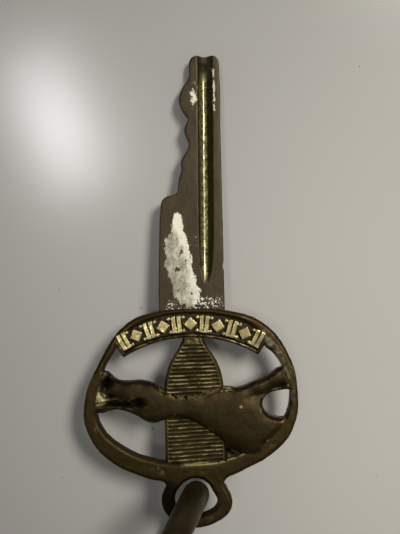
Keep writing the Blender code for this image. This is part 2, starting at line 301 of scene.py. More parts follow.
# Silver plating left on the shank, (x, y) in the key's axes: a patch, a line and a blot up the blade,
# and stretches with spatter round them
PLATING_LINE_X = 3.62
PLATING_LINE_HALF_WIDTH = 0.09
PLATING_LINE_ENDS = (20.9, 27.0)
PLATING_BLOT = (1.0, 24.05)
PLATING_BLOT_REACH = (0.36, 1.05)
SPATTER_WIDE = [(-2.6, -3.4), (3.2, -2.9)]
SPATTER_NARROW = [(-0.2, 8.3), (0.9, 5.5), (1.2, 3.0)]
PLATING_LOWEST = 1.5
PLATING_OUTLINE = [
    (-1.9, 8.6),
    (-1.15, 8.65),
    (-0.8, 7.9),
    (-0.75, 7.0),
    (-0.35, 5.2),
    (0.2, 3.2),
    (0.5, 1.3),
    (0.95, -0.7),
    (1.35, -1.6),
    (0.9, -2.6),
    (0.2, -3.5),
    (-0.9, -3.4),
    (-1.6, -2.6),
    (-2.3, -1.5),
    (-2.4, -0.3),
    (-2.9, 1.0),
    (-3.1, 3.2),
    (-3.15, 6.0),
    (-2.8, 5.7),
    (-2.2, 7.2),
]


def add_spline(curve, points, steps):
    """A closed spline through the points: smooth at plain ones, straight into and out of a corner."""
    spline = curve.splines.new("BEZIER")
    spline.bezier_points.add(len(points) - 1)
    for knot, (x, y, *kind) in zip(spline.bezier_points, points):
        handle = "VECTOR" if kind else "AUTO"
        knot.co = (x, y, 0.0)
        knot.handle_left_type = handle
        knot.handle_right_type = handle
    spline.use_cyclic_u = True
    spline.resolution_u = steps


def plate(name, points, low, high, steps=12):
    """A flat plate with the given outline, from height low to height high."""
    curve = bpy.data.curves.new(name, "CURVE")
    curve.dimensions = "2D"
    curve.fill_mode = "BOTH"
    curve.extrude = (high - low) / 2
    add_spline(curve, points, steps)
    holder = bpy.data.objects.new(name, curve)
    bpy.context.scene.collection.objects.link(holder)
    bpy.context.view_layer.update()
    mesh = bpy.data.meshes.new_from_object(holder.evaluated_get(bpy.context.evaluated_depsgraph_get()))
    bpy.data.objects.remove(holder)
    mesh.transform(Matrix.Translation((0.0, 0.0, (high + low) / 2)))
    return mesh


def cad_mesh(node):
    """A copy of a CAD node's mesh in millimetres."""
    mesh = frame["nodes"][node].data.copy()
    mesh.transform(Matrix.Scale(1.0 / MM, 4))
    return mesh


def fine_piece(name, mesh, voxel, rounds, inside_rim=False):
    """A piece with small even faces that follows the closed mesh, its edges softened."""
    shape = bmesh.new()
    shape.from_mesh(mesh)
    bmesh.ops.remove_doubles(shape, verts=shape.verts, dist=1e-4)
    bmesh.ops.recalc_face_normals(shape, faces=shape.faces)
    shape.to_mesh(mesh)
    shape.free()
    piece = bpy.data.objects.new(name, mesh)
    bpy.context.scene.collection.objects.link(piece)
    if inside_rim:
        window = bpy.data.objects.new("window", plate("window", to_key_axes(RIM_MIDDLE), -1.0, 4.0))
        bpy.context.scene.collection.objects.link(window)
        trim = piece.modifiers.new("inside_rim", "BOOLEAN")
        trim.operation = "INTERSECT"
        trim.solver = "EXACT"
        trim.object = window
    remesh = piece.modifiers.new("even_faces", "REMESH")
    remesh.mode = "VOXEL"
    remesh.voxel_size = voxel
    soften = piece.modifiers.new("soft_edges", "SMOOTH")
    soften.factor = 0.5
    soften.iterations = rounds
    bpy.context.view_layer.update()
    fine = bpy.data.meshes.new_from_object(piece.evaluated_get(bpy.context.evaluated_depsgraph_get()))
    piece.modifiers.clear()
    if inside_rim:
        bpy.data.objects.remove(window)
    piece.data = fine
    fine.name = name
    fine.materials.clear()
    return piece


def read_points(piece):
    points = np.zeros(len(piece.data.vertices) * 3)
    piece.data.vertices.foreach_get("co", points)
    return points.reshape(-1, 3)


def write_points(piece, points):
    """Sets the mesh's points, with none of them outside the CAD model's box."""
    low, high = (np.array(list(corner)) / MM for corner in cad_box)
    points = np.clip(points, low + CLIP_MARGIN, high - CLIP_MARGIN)
    piece.data.vertices.foreach_set("co", points.astype(np.float32).ravel())
    piece.data.update()


def add_mask(piece, name, values):
    """A number for each point of the mesh, which the material reads."""
    layer = piece.data.attributes.new(name, "FLOAT", "POINT")
    layer.data.foreach_set("value", np.asarray(values, np.float32))


def finish_piece(piece, material, body, slot, *nodes):
    piece.data.transform(Matrix.Scale(MM, 4))
    piece.data.materials.append(material)
    piece.data.shade_smooth()
    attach(piece, body)
    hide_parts(*nodes)


def step(low, high, values):
    """0 below low, 1 above high, and smooth between them."""
    share = np.clip((values - low) / (high - low), 0.0, 1.0)
    return share * share * (3 - 2 * share)


def neighbour_mean(piece, points, rounds):
    """Each point averaged with its neighbours, again and again."""
    ends = np.zeros(len(piece.data.edges) * 2, np.int64)
    piece.data.edges.foreach_get("vertices", ends)
    a, b = ends.reshape(-1, 2).T
    count = np.bincount(a, minlength=len(points)) + np.bincount(b, minlength=len(points)) + 1.0
    mean = points.copy()
    for _ in range(rounds):
        total = mean.copy()
        for axis in range(mean.shape[1]):
            total[:, axis] += np.bincount(a, mean[b, axis], len(points))
            total[:, axis] += np.bincount(b, mean[a, axis], len(points))
        mean = total / count[:, None]
    return mean


def normals_of(piece):
    normals = np.zeros(len(piece.data.vertices) * 3)
    piece.data.vertex_normals.foreach_get("vector", normals)
    return normals.reshape(-1, 3)


def add_wear_masks(piece, fine_rounds=4, broad_rounds=24):
    """Masks of ridges and hollows: how far each point stands out from its surroundings, near and far."""
    points = read_points(piece)
    normals = normals_of(piece)
    near = ((points - neighbour_mean(piece, points, fine_rounds)) * normals).sum(1)
    far = ((points - neighbour_mean(piece, points, broad_rounds)) * normals).sum(1)
    add_mask(piece, "edge", near * EDGE_GAIN)
    add_mask(piece, "relief", far * RELIEF_GAIN)


def noise_at(points, size, seed):
    """Smooth noise from about -1 to 1, whose features are about size millimetres across."""
    shift = Vector((seed * 7.3, seed * 3.1, seed * 5.7))
    return np.array([noise.noise(Vector(p) / size + shift) for p in points])


def segment_distance(x, y, ends):
    """Distance in plan from each point to a chain of straight segments."""
    best = np.full(len(x), 1e9)
    for (ax, ay), (bx, by) in zip(ends[:-1], ends[1:]):
        dx, dy = bx - ax, by - ay
        share = np.clip(((x - ax) * dx + (y - ay) * dy) / (dx * dx + dy * dy + 1e-12), 0.0, 1.0)
        best = np.minimum(best, np.hypot(x - ax - share * dx, y - ay - share * dy))
    return best


def smooth_loop(points, steps=8):
    """A closed smooth curve through the points, by Catmull-Rom, as a closed chain."""
    knots = np.array([p[:2] for p in points])
    before, after, beyond = np.roll(knots, 1, 0), np.roll(knots, -1, 0), np.roll(knots, -2, 0)
    chain = []
    for k in range(len(knots)):
        for s in range(steps):
            t = s / steps
            chain.append(
                0.5
                * (
                    2 * knots[k]
                    + (after[k] - before[k]) * t
                    + (2 * before[k] - 5 * knots[k] + 4 * after[k] - beyond[k]) * t**2
                    + (3 * knots[k] - before[k] - 3 * after[k] + beyond[k]) * t**3
                )
            )
    chain.append(chain[0])
    return np.array(chain)


def inside_loop(x, y, chain):
    """True for points inside the closed chain."""
    inside = np.zeros(len(x), bool)
    for (ax, ay), (bx, by) in zip(chain[:-1], chain[1:]):
        crosses = (ay > y) != (by > y)
        at = ax + (y - ay) / (by - ay + 1e-12) * (bx - ax)
        inside ^= crosses & (x < at)
    return inside


def signed_distance(x, y, chain):
    """Distance in plan to the closed chain, positive inside it."""
    distance = segment_distance(x, y, chain)
    return np.where(inside_loop(x, y, chain), distance, -distance)


def wall_distance(points, mesh):
    """Distance in plan from each point to the mesh's upright walls."""
    corners = [v.co.copy() for v in mesh.vertices]
    walls = [tuple(f.vertices) for f in mesh.polygons if abs(f.normal.z) < 0.5]
    tree = BVHTree.FromPolygons(corners, walls)
    middle = max(c.z for c in corners) / 2
    return np.array([tree.find_nearest(Vector((p[0], p[1], middle)))[3] for p in points])


def stroke_height(x, y, strokes):
    """Height of the rounded strokes at each point, blended softly into each other."""
    sharpness = 7.0
    skirt = 1.2
    total = np.zeros(len(x))
    for stroke in strokes:
        for (ax, ay, aw, ah), (bx, by, bw, bh) in zip(stroke[:-1], stroke[1:]):
            dx, dy = bx - ax, by - ay
            share = np.clip(((x - ax) * dx + (y - ay) * dy) / (dx * dx + dy * dy), 0.0, 1.0)
            distance = np.hypot(x - ax - share * dx, y - ay - share * dy)
            width = aw + (bw - aw) * share
            height = ah + (bh - ah) * share
            ratio = np.clip(distance / (width * skirt), 0.0, 1.0)
            rise = height * (1 - ratio**3) ** 0.8
            total = np.log(np.exp(sharpness * total) + np.exp(sharpness * rise) - 1.0) / sharpness
    return total


def waviness(points, layers):
    """Height of the waviness at each point, from layers of (height, size, seed)."""
    return sum(height * noise_at(points, size, seed) for height, size, seed in layers)


def roughen(piece, points, heights, *wear_rounds):
    """Moves the points along the mesh's normals in place, sets them and measures the wear masks."""
    points += normals_of(piece) * heights[:, None]
    write_points(piece, points)
    add_wear_masks(piece, *wear_rounds)


def front_share(z):
    """0 on the back and the lower sides, 1 on the front."""
    return step(FRONT_LOW, FRONT_HIGH, z)


def bow_axes(points):
    """x and y in the bow's own axes."""
    return points[:, 0] - BOW_CENTRE[0], points[:, 1] - BOW_CENTRE[1]


def to_key_axes(points):
    return [(p[0] + BOW_CENTRE[0], p[1] + BOW_CENTRE[1], *p[2:]) for p in points]


def build_blade():
    piece = fine_piece("key_blade", cad_mesh("blade"), BLADE_VOXEL, 3)
    points = read_points(piece)
    # the shank's lower end is drawn in where it meets the bow
    rim = cad_mesh("bow_rim")
    corners = [v.co.copy() for v in rim.vertices]
    rim_tree = BVHTree.FromPolygons(corners, [tuple(f.vertices) for f in rim.polygons])
    low = points[:, 1] < BOW_BEGINS_Y
    gap = np.full(len(points), FAR_AWAY)
    gap[low] = [rim_tree.find_nearest(Vector(p))[3] for p in points[low]]
    points[:, 1] -= TUCK_UNDER_BOW * step(0.35, 0.1, gap)
    x, y, z = points.T.copy()
    across = (x - (GROOVE_X + GROOVE_LEAN * y)) / GROOVE_HALF_WIDTH
    top = step(0.9, 1.2, z)
    pit = ((x - PIT_PLACE[0]) / PIT_RADIUS) ** 2 + ((y - PIT_PLACE[1]) / PIT_RADIUS) ** 2
    points[:, 2] -= top * PIT_DEPTH * np.exp(-pit)
    nick = ((y - NICK_Y) / NICK_HALF_LENGTH) ** 2
    points[:, 0] -= step(3.9, 4.3, x) * NICK_DEPTH * np.exp(-nick)
    # sharp edges are worn back, more in some places than in others
    sharp = read_points(piece)
    sharp = ((sharp - neighbour_mean(piece, sharp, 6)) * normals_of(piece)).sum(1)
    chips = np.clip(sharp * 12, 0, 1) * (0.035 + 0.05 * np.clip(noise_at(points, 0.7, 4), 0, 1))
    roughen(piece, points, waviness(points, BLADE_WAVES) - chips)
    patch = signed_distance(x, y, smooth_loop(PLATING_OUTLINE))
    line = PLATING_LINE_HALF_WIDTH - np.abs(x - (PLATING_LINE_X + 0.003 * (y - 24)))
    line = np.minimum(line, np.minimum(y - PLATING_LINE_ENDS[0], PLATING_LINE_ENDS[1] - y) * 0.4)
    blot = 1.0 - np.hypot(
        (x - PLATING_BLOT[0]) / PLATING_BLOT_REACH[0], (y - PLATING_BLOT[1]) / PLATING_BLOT_REACH[1]
    )
    plating = np.clip(np.maximum(patch, np.maximum(line * 1.2, blot * 0.26)), -2, 1.5)
    add_mask(piece, "plating", np.where(z > PLATING_LOWEST, plating, -2.0))
    wide = step(3.2, 0.3, segment_distance(x, y, np.array(SPATTER_WIDE)))
    narrow = step(1.5, 0.1, segment_distance(x, y, np.array(SPATTER_NARROW)))
    spatter = np.maximum(wide, 0.8 * narrow)
    add_mask(piece, "spatter", np.where(z > PLATING_LOWEST, spatter, 0.0))
    depth = np.clip((BLADE_TOP - z) / GROOVE_DEPTH, 0, 1) * (np.abs(across) < 1.15) * top
    add_mask(piece, "groove", depth)
    add_mask(piece, "across", np.clip(across, -2, 2))
    finish_piece(piece, blade_material(), "key", "worn_brass", "blade")


def build_rim():
    rough = cad_mesh("bow_rim")
    piece = fine_piece("bow_rim_cast", rough.copy(), RIM_VOXEL, 3)
    points = read_points(piece)
    wall = wall_distance(points, rough)
    x, y = bow_axes(points)
    z = points[:, 2]
    share = z / RIM_TOP
    # the front is crowned, but not where the scroll's arms run out onto it
    crown = 0.2 * (1 - step(0.0, 0.55, wall)) ** 2
    on_scroll = step(-0.2, 0.3, signed_distance(x, y, smooth_loop(SCROLL_OUTLINE)))
    crown = crown * (1 - on_scroll * (np.abs(x) > SIDE_X))
    sink = 0.12 * step(-3.5, -9.5, y) * step(0.2, -6.0, x)
    back_edge = 0.1 * (1 - step(0.0, 0.5, wall))
    points[:, 2] = z - share**2 * (crown + sink) + (1 - share) ** 2 * back_edge
    roughen(piece, points, waviness(points, RIM_WAVES))
    add_mask(piece, "wall", np.clip(wall, 0, 2))
    front = front_share(z)
    # painted shadow that the ring would cast on the loop's left arm
    ring_shadow = segment_distance(x, y, np.array(RIM_RING_SHADOW))
    add_mask(piece, "ring_shadow", step(1.7, 0.5, ring_shadow) * front)
    # a painted highlight along the lower inner edge, below the panel, where the crest would catch the
    # light
    inner_side = signed_distance(x, y, smooth_loop(RIM_MIDDLE)) > 0
    low_edge = step(-1.6, -0.6, x) * step(9.6, 8.4, x) * (y < -5.5)
    add_mask(piece, "crest_highlight", inner_side * low_edge * step(0.27, 0.14, wall) * step(1.0, 1.4, z))
    # rubbed grey wear at the upper right corner, running on down the lit right side as painted sheen
    rub_and_sheen = segment_distance(x, y, np.array(RIM_RUB_CORNER))
    rub_and_sheen = np.minimum(rub_and_sheen, 0.28 + segment_distance(x, y, np.array(RIM_SHEEN_SIDE)))
    add_mask(piece, "rub_and_sheen", step(0.75, 0.2, rub_and_sheen + 0.3 * noise_at(points, 0.9, 14)) * front)
    finish_piece(piece, rim_material(), "key", "dark_brass", "bow_rim")


def banner_polar(x, y):
    """Radius and angle from straight up, in degrees, about the banner's own centre."""
    across, up = x - BANNER_CENTRE[0], y - BANNER_CENTRE[1]
    return np.hypot(across, up), np.degrees(np.arctan2(across, up))


def banner_arc(radius, start_deg, end_deg, count=41):
    points = []
    for number in range(count):
        angle = math.radians(start_deg + (end_deg - start_deg) * number / (count - 1))
        x = BANNER_CENTRE[0] + radius * math.sin(angle)
        y = BANNER_CENTRE[1] + radius * math.cos(angle)
        points.append((x, y, CORNER))
    return points


def build_banner():
    low = banner_arc(BANNER_LOW_RADIUS, -BANNER_LEFT_DEG, BANNER_RIGHT_DEG)
    high = banner_arc(BANNER_HIGH_RADIUS, BANNER_RIGHT_DEG, -BANNER_LEFT_DEG)
    blank = plate("banner", to_key_axes(low + high), BANNER_BACK, BANNER_TOP, 2)
    piece = fine_piece("banner_band", blank, BANNER_VOXEL, 3, True)
    points = read_points(piece)
    x, y = bow_axes(points)
    z = points[:, 2]
    radius, angle = banner_polar(x, y)
    from_low = radius - BANNER_LOW_RADIUS
    from_end = np.radians(np.minimum(angle + BANNER_LEFT_DEG, BANNER_RIGHT_DEG - angle)) * radius
    inner = np.minimum(from_low - BANNER_BORDER, from_end - BANNER_END_BORDER)
    floor = BANNER_FIELD + 0.03 * noise_at(points, 0.5, 21)
    edge = np.minimum(from_low, from_end)
    top = BANNER_TOP - 0.28 * (1 - step(0.0, 0.4, edge)) ** 2 - 0.06
    top = top + (floor - top) * step(-0.05, 0.16, inner)
    points[:, 2] = z / BANNER_TOP * top
    roughen(piece, points, waviness(points, BANNER_WAVES))
    add_mask(piece, "field", step(0.0, 0.2, inner) * step(0.6, 1.1, z))
    finish_piece(piece, banner_material(), "key", "dark_brass", "banner")


def mark_block(shape, angle_deg, radius, width, height, turn_deg=0.0):
    """A low block standing on the banner's field."""
    angle = math.radians(angle_deg)
    top = BANNER_TOP + 0.02
    low = BANNER_FIELD - 0.25
    x = BOW_CENTRE[0] + BANNER_CENTRE[0] + radius * math.sin(angle)
    y = BOW_CENTRE[1] + BANNER_CENTRE[1] + radius * math.cos(angle)
    size = Matrix.Diagonal((width, height, top - low, 1.0))
    turn = Matrix.Rotation(math.radians(turn_deg) - angle, 4, "Z")
    place = Matrix.Translation(Vector((x, y, (top + low) / 2))) @ turn @ size
    bmesh.ops.create_cube(shape, size=1.0, matrix=place)


def build_marks():
    """Pairs of bars and lozenges by turns along the banner, with small beads between them."""
    shape = bmesh.new()
    first, last = -BANNER_LEFT_DEG + MARK_END_DEG, BANNER_RIGHT_DEG - MARK_END_DEG
    pitch = (last - first) / (MARK_COUNT - 1)
    for number in range(MARK_COUNT):
        angle = first + pitch * number
        if number % 2:
            mark_block(shape, angle, MARK_RADIUS, LOZENGE_SIDE, LOZENGE_SIDE, 45.0)
        else:
            for apart in (-BAR_APART_DEG, BAR_APART_DEG):
                mark_block(shape, angle + apart, MARK_RADIUS, *BAR_SIZE)
        if number < MARK_COUNT - 1:
            for rise in (BEAD_FROM_MIDDLE, -BEAD_FROM_MIDDLE):
                mark_block(shape, angle + pitch / 2, MARK_RADIUS + rise, BEAD_SIDE, BEAD_SIDE, 45.0)
    mesh = bpy.data.meshes.new("marks")
    shape.to_mesh(mesh)
    shape.free()
    piece = fine_piece("banner_marks", mesh, MARKS_VOXEL, 8)
    points = read_points(piece)
    roughen(piece, points, waviness(points, MARKS_WAVES), 3, 12)
    finish_piece(piece, marks_material(), "key", "bright_brass", "banner")


def panel_outline():
    left = [(-x, y, *kind) for x, y, *kind in reversed(PANEL_HALF_OUTLINE)]
    return [(PANEL_X + x, y, *kind) for x, y, *kind in PANEL_HALF_OUTLINE + left]


def panel_half_width(y):
    """Half the panel's width at a height along it."""
    knots = sorted((p[1], p[0]) for p in PANEL_HALF_OUTLINE)
    return np.interp(y, [k[0] for k in knots], [k[1] for k in knots])


def build_panel():
    blank = plate("panel", to_key_axes(panel_outline()), PANEL_BACK, PANEL_TOP)
    piece = fine_piece("ribbed_panel_cast", blank, PANEL_VOXEL, 2, True)
    points = read_points(piece)
    x, y = bow_axes(points)
    z = points[:, 2]
    from_side = panel_half_width(y) - np.abs(x - PANEL_X)
    lean = np.interp(y, *zip(RIB_LEAN_LOW, RIB_LEAN_HIGH))
    along = (y - lean * (x - PANEL_X) + 0.03 * noise_at(points, 2.0, 41)) / RIB_PITCH
    ribs = (0.5 + 0.5 * np.cos(2 * math.pi * along)) ** 0.6
    depth = RIB_DEPTH * (0.85 + 0.3 * noise_at(points, 1.3, 42))
    field = step(PANEL_BORDER - 0.1, PANEL_BORDER + 0.1, from_side) * step(RIBS_TOP, RIBS_TOP - 0.3, y)
    top = PANEL_TOP - 0.02 - 0.3 * (1 - step(0.0, 0.45, from_side)) ** 2 - field * depth * (1 - ribs)
    top = top - step(NECK_LOW, NECK_HIGH, y) * (0.12 + 0.1 * noise_at(points, 0.5, 43))
    points[:, 2] = z / PANEL_TOP * top
    roughen(piece, points, waviness(points, PANEL_WAVES))
    add_mask(piece, "ribs", field * ribs)
    add_mask(piece, "back", step(0.8, 0.4, z))
    finish_piece(piece, panel_material(), "key", "olive_brass", "ribbed_panel")


def build_scroll():
    blank = plate("scroll", to_key_axes(SCROLL_OUTLINE), SCROLL_BACK, SCROLL_TOP, 10)
    piece = fine_piece("scroll_cast", blank, SCROLL_VOXEL, 3, True)
    points = read_points(piece)
    x, y = bow_axes(points)
    z = points[:, 2]
    edge = segment_distance(x, y, smooth_loop(SCROLL_OUTLINE))
    rise = stroke_height(x, y, SCROLL_STROKES)
    for px, py, rx, ry, depth in SCROLL_PITS:
        rise = rise - depth * np.exp(-(((x - px) / rx) ** 2 + ((y - py) / ry) ** 2) ** 1.5)
    top = 1.52 + rise * 0.98
    top = top - 0.42 * (1 - step(0.0, 0.6, edge)) ** 2
    # at both sides the arms run out level with the rim
    from_rim = signed_distance(x, y, smooth_loop(RIM_MIDDLE))
    joined = JOINED_HEIGHT + 0.2 * step(0.2, 1.0, from_rim)
    top = top + (joined - top) * step(1.5, 0.4, from_rim) * (np.abs(x) > SIDE_X)
    points[:, 2] = z / SCROLL_TOP * top
    roughen(piece, points, waviness(points, SCROLL_WAVES))
    front = front_share(z)
    facet_x, facet_y = x - FACET_PLACE[0], y - FACET_PLACE[1]
    bright = 1.0 - np.hypot(facet_x / FACET_REACH[0], (facet_y + 0.25 * facet_x) / FACET_REACH[1])
    add_mask(piece, "facet", np.clip(bright * 2, 0, 1) * front)
    # a small painted highlight spot
    spot = np.hypot(x - SCROLL_HIGHLIGHT_SPOT[0], y - SCROLL_HIGHLIGHT_SPOT[1])
    add_mask(piece, "spot", step(0.24, 0.06, spot) * front)
    streaks = np.min([segment_distance(x, y, streak) for streak in SCROLL_GLINT_STREAKS], axis=0)
    # painted glints on the scroll's upper edge where it crosses the panel
    crossing_glints = step(0.5, 0.2, edge) * step(-4.6, -3.8, x) * step(6.0, 5.0, x) * (y > -0.6)
    add_mask(piece, "crossing_glints", np.maximum(crossing_glints, step(0.2, 0.08, streaks)) * front)
    finish_piece(piece, scroll_material(), "key", "bronze_patina", "scroll")


def build_ring():
    """A round wire bent into a ring, its butted ends rounded, leaning where it hangs on the loop."""
    pivot = Vector(frame["joints"][0]["pos_m"]) / MM
    place = (
        Matrix.Translation(pivot)
        @ Matrix.Rotation(math.radians(-90.0 - RING_HEADING_DEG), 4, "Z")
        @ Matrix.Rotation(math.radians(RING_TIP_DEG), 4, "X")
        @ Matrix.Rotation(math.radians(-RING_REST_DEG), 4, "Y")
        @ Matrix.Translation((RING_RADIUS - PIVOT_TO_WIRE, 0.0, 0.0))
    )
    shape = bmesh.new()
    loops = []
    gap = math.radians(RING_BUTT_GAP_DEG / 2)
    for row in range(WIRE_ROWS + 1):
        angle = gap + (2 * math.pi - 2 * gap) * row / WIRE_ROWS
        from_end = min(angle - gap, 2 * math.pi - gap - angle) * RING_RADIUS
        rounding = 1.0 - WIRE_END_ROUNDING * max(0.0, 1.0 - from_end / WIRE_END_LENGTH) ** 2
        radial = Vector((math.cos(angle), 0.0, math.sin(angle)))
        centre = radial * RING_RADIUS
        reach = WIRE_RADIUS * rounding * WIRE_SHRINK
        loop = []
        for number in range(WIRE_SIDES):
            turn = 2 * math.pi * number / WIRE_SIDES
            spot = centre + radial * (math.cos(turn) * reach) + Vector((0.0, math.sin(turn) * reach, 0.0))
            slow = noise.noise(spot / 2.2)
            quick = noise.noise(spot / 0.7 + Vector((9.0, 0.0, 4.0)))
            spot = spot + (spot - centre).normalized() * (0.014 * slow + 0.008 * quick)
            loop.append(shape.verts.new(place @ spot))
        loops.append(loop)
    for first, second in zip(loops[:-1], loops[1:]):
        for number in range(WIRE_SIDES):
            following = (number + 1) % WIRE_SIDES
            shape.faces.new((first[number], first[following], second[following], second[number]))
    shape.faces.new(loops[0])
    shape.faces.new(list(reversed(loops[-1])))
    bmesh.ops.recalc_face_normals(shape, faces=shape.faces)
    mesh = bpy.data.meshes.new("ring_wire")
    shape.to_mesh(mesh)
    shape.free()
    piece = bpy.data.objects.new("ring_wire", mesh)
    bpy.context.scene.collection.objects.link(piece)
    add_wear_masks(piece)
    finish_piece(piece, ring_material(), "ring", "brown_wire", "key_ring")


PLAIN = (1.0, 1.0, 1.0)


class Recipe:
    """Builds one material's nodes. Positions in it are millimetres in the key's axes."""

    def __init__(self, name):
        self.material = bpy.data.materials.new(name)
        self.material.use_nodes = True
        self.tree = self.material.node_tree
        self.shader = self.tree.nodes["Principled BSDF"]
        place = self.tree.nodes.new("ShaderNodeTexCoord").outputs["Object"]
        self.place = self.vector("MULTIPLY", place, (1.0 / MM,) * 3)

    def feed(self, socket, value):
        if isinstance(value, bpy.types.NodeSocket):
            self.tree.links.new(value, socket)
        else:
            socket.default_value = value

    def vector(self, operation, a, b):
        node = self.tree.nodes.new("ShaderNodeVectorMath")
        node.operation = operation
        self.feed(node.inputs[0], a)
        self.feed(node.inputs[1], b)
        return node.outputs["Vector"]

    def math(self, operation, a, b=0.0):
        node = self.tree.nodes.new("ShaderNodeMath")
        node.operation = operation
        self.feed(node.inputs[0], a)
        self.feed(node.inputs[1], b)
        return node.outputs[0]

    def times(self, a, b):
        return self.math("MULTIPLY", a, b)

    def plus(self, a, b):
        return self.math("ADD", a, b)

    def noise(self, size, detail, rough, stretch=PLAIN, shift=0.0, twist=0.0):
        """Noise from 0 to 1 with features about size millimetres across."""
        node = self.tree.nodes.new("ShaderNodeTexNoise")
        moved = self.vector("ADD", self.place, (shift, shift * 1.7, shift * 0.6))
        self.feed(node.inputs["Vector"], self.vector("MULTIPLY", moved, stretch))
        node.inputs["Scale"].default_value = 1.0 / size
        node.inputs["Detail"].default_value = detail
        node.inputs["Roughness"].default_value = rough
        node.inputs["Distortion"].default_value = twist
        return node.outputs[0]

    def patches(self, size, shift, stretch=PLAIN):
        """Soft noise, for slow changes of colour and for where wear has come through."""
        return self.noise(size, 4.0, 0.6, stretch, shift)

    def grain(self, size, shift):
        """Noise with sharper detail, for dirt and fine pitting."""
        return self.noise(size, 5.0, 0.65, PLAIN, shift)

    def mask(self, name):
        node = self.tree.nodes.new("ShaderNodeAttribute")
        node.attribute_name = name
        return node.outputs["Fac"]

    def step(self, value, low, high):
        """0 where the value is at low, 1 at high, smooth between them."""
        node = self.tree.nodes.new("ShaderNodeMapRange")
        node.interpolation_type = "SMOOTHSTEP"
        self.feed(node.inputs["Value"], value)
        node.inputs["From Min"].default_value = low
        node.inputs["From Max"].default_value = high
        return node.outputs["Result"]

    def worn(self, low, high, size, shift, start, full):
        """Rubbed ridges: the edge mask from low to high, in patches of noise from start to full."""
        ridges = self.step(self.mask("edge"), low, high)
        return self.times(ridges, self.step(self.patches(size, shift), start, full))

    def blend(self, share, a, b):
        """Colour a where the share is 0 and colour b where it is 1."""
        node = self.tree.nodes.new("ShaderNodeMix")
        node.data_type = "RGBA"
        self.feed(node.inputs[0], share)
        self.feed(node.inputs[6], (*a, 1.0) if isinstance(a, tuple) else a)
        self.feed(node.inputs[7], (*b, 1.0) if isinstance(b, tuple) else b)
        return node.outputs[2]

    def tint(self, colour, share, strength, target):
        """The colour taken towards the target, by at most the strength where the share is 1."""
        return self.blend(self.times(share, strength), colour, target)

    def mixed(self, share, a, b):
        """Number a where the share is 0 and number b where it is 1."""
        node = self.tree.nodes.new("ShaderNodeMix")
        node.data_type = "FLOAT"
        self.feed(node.inputs[0], share)
        self.feed(node.inputs[2], a)
        self.feed(node.inputs[3], b)
        return node.outputs[0]

    def done(self, colour, roughness, metallic, height, strength=0.5, depth=0.02):
        """Connects the shader. Height is in units of depth millimetres."""
        bump = self.tree.nodes.new("ShaderNodeBump")
        bump.inputs["Strength"].default_value = strength
        bump.inputs["Distance"].default_value = depth * MM
        self.feed(bump.inputs["Height"], height)
        self.feed(self.shader.inputs["Base Color"], colour)
        self.feed(self.shader.inputs["Roughness"], roughness)
        self.feed(self.shader.inputs["Metallic"], metallic)
        self.tree.links.new(bump.outputs["Normal"], self.shader.inputs["Normal"])
        return self.material


# Colours shared by several pieces
BRASS_GLINT = (0.62, 0.50, 0.20)
BRASS_GOLD = (0.42, 0.33, 0.11)
OLIVE_DARK = (0.022, 0.016, 0.005)
OLIVE = (0.064, 0.044, 0.011)
BROWN_DARK = (0.030, 0.020, 0.012)
BRONZE_RED = (0.085, 0.040, 0.012)
# near black, for dirt in hollows and also for painted shadow
SOOT_AND_SHADOW = (0.008, 0.006, 0.003)
# Blade
BLADE_BROWN = (0.064, 0.047, 0.027)
BLADE_BROWN_LIGHT = (0.088, 0.067, 0.040)
BLADE_SCRATCH = (0.16, 0.12, 0.07)
BLADE_WORN = (0.18, 0.13, 0.06)
GROOVE_BRASS = (0.38, 0.33, 0.165)
GROOVE_DIRT_AND_SHADE = (0.10, 0.086, 0.032)
GROOVE_WALL_SHADE = (0.05, 0.04, 0.012)
GROOVE_TIP = (0.10, 0.085, 0.042)
SILVER = (0.86, 0.81, 0.64)
SILVER_DULL = (0.40, 0.365, 0.27)
SILVER_WORN = (0.25, 0.225, 0.155)
# Rim
RIM_BROWN = (0.058, 0.036, 0.009)
RIM_RUBBED = (0.16, 0.125, 0.055)
RIM_CREST_HIGHLIGHT = (0.85, 0.70, 0.32)
RIM_GREY_WEAR_AND_SHEEN = (0.24, 0.20, 0.14)
# Banner and its marks
BANNER_BROWN = (0.055, 0.036, 0.014)
FIELD_DARK = (0.028, 0.020, 0.009)
FIELD_LIGHT = (0.060, 0.044, 0.020)
MARK_BRIGHT = (0.66, 0.56, 0.28)
MARK_DULL = (0.40, 0.32, 0.12)
MARK_DIRT = (0.085, 0.060, 0.018)
# Panel
PANEL_LIGHT = (0.145, 0.103, 0.033)
PANEL_DARK = (0.075, 0.053, 0.015)
PANEL_SHINE = (0.60, 0.49, 0.22)
# Scroll
SCROLL_LIGHT = (0.052, 0.035, 0.010)
SCROLL_DARK = (0.036, 0.024, 0.006)
SCROLL_RUBBED = (0.28, 0.22, 0.09)
SCROLL_FACET = (0.72, 0.6, 0.3)
# Ring
RING_LIGHT = (0.062, 0.042, 0.016)
RING_DARK = (0.040, 0.026, 0.009)
RING_SCRATCH = (0.16, 0.12, 0.06)
# Floor
FLOOR_PALE = (0.80, 0.775, 0.715)
FLOOR_PALEST = (0.83, 0.805, 0.745)
FLOOR_SPECK = (0.12, 0.10, 0.08)
# Lengths along the blade over which the groove dulls towards its tip end
DULL_TIP = (25.2, 27.2)


